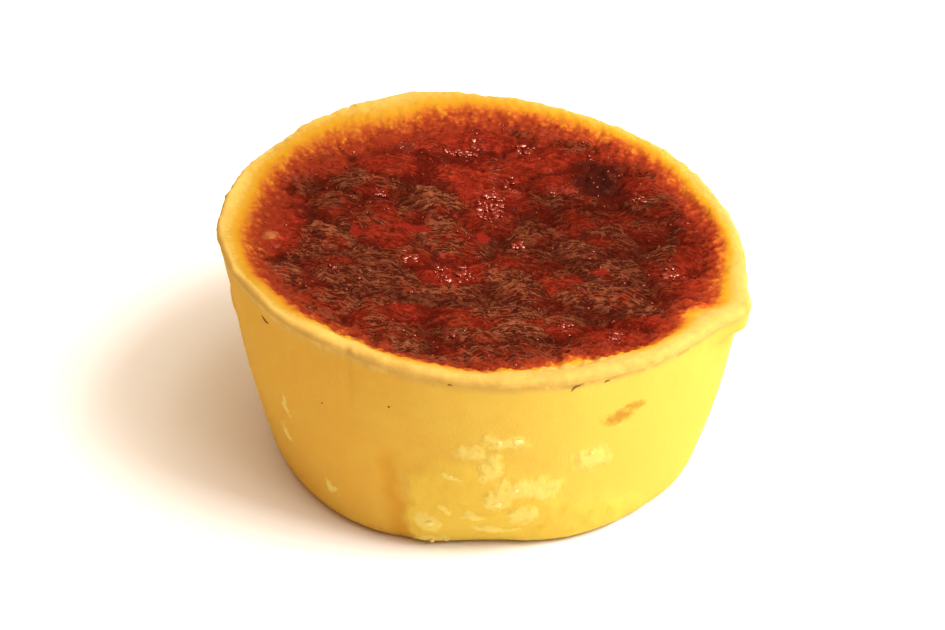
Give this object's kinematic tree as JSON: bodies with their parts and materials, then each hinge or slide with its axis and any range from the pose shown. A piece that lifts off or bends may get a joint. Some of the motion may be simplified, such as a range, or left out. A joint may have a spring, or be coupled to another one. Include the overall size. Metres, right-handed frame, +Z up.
{
  "type": "milk tartlet",
  "caption": "Small round baked milk tartlet with a smooth tapered custard side, an uneven pale lip and a sunken, wrinkled, browned top.",
  "frame": {"origin": "middle of the flat base that it stands on", "axes": "+Z up, -Y towards the front with the rough patch low on its side, +X towards the side where the rim is lowest"},
  "size_m": [0.0661, 0.0665, 0.0328],
  "materials": {
    "baked_custard": "satin"
  },
  "bodies": {
    "root": {"tartlet": "baked_custard"}
  },
  "joints": []
}
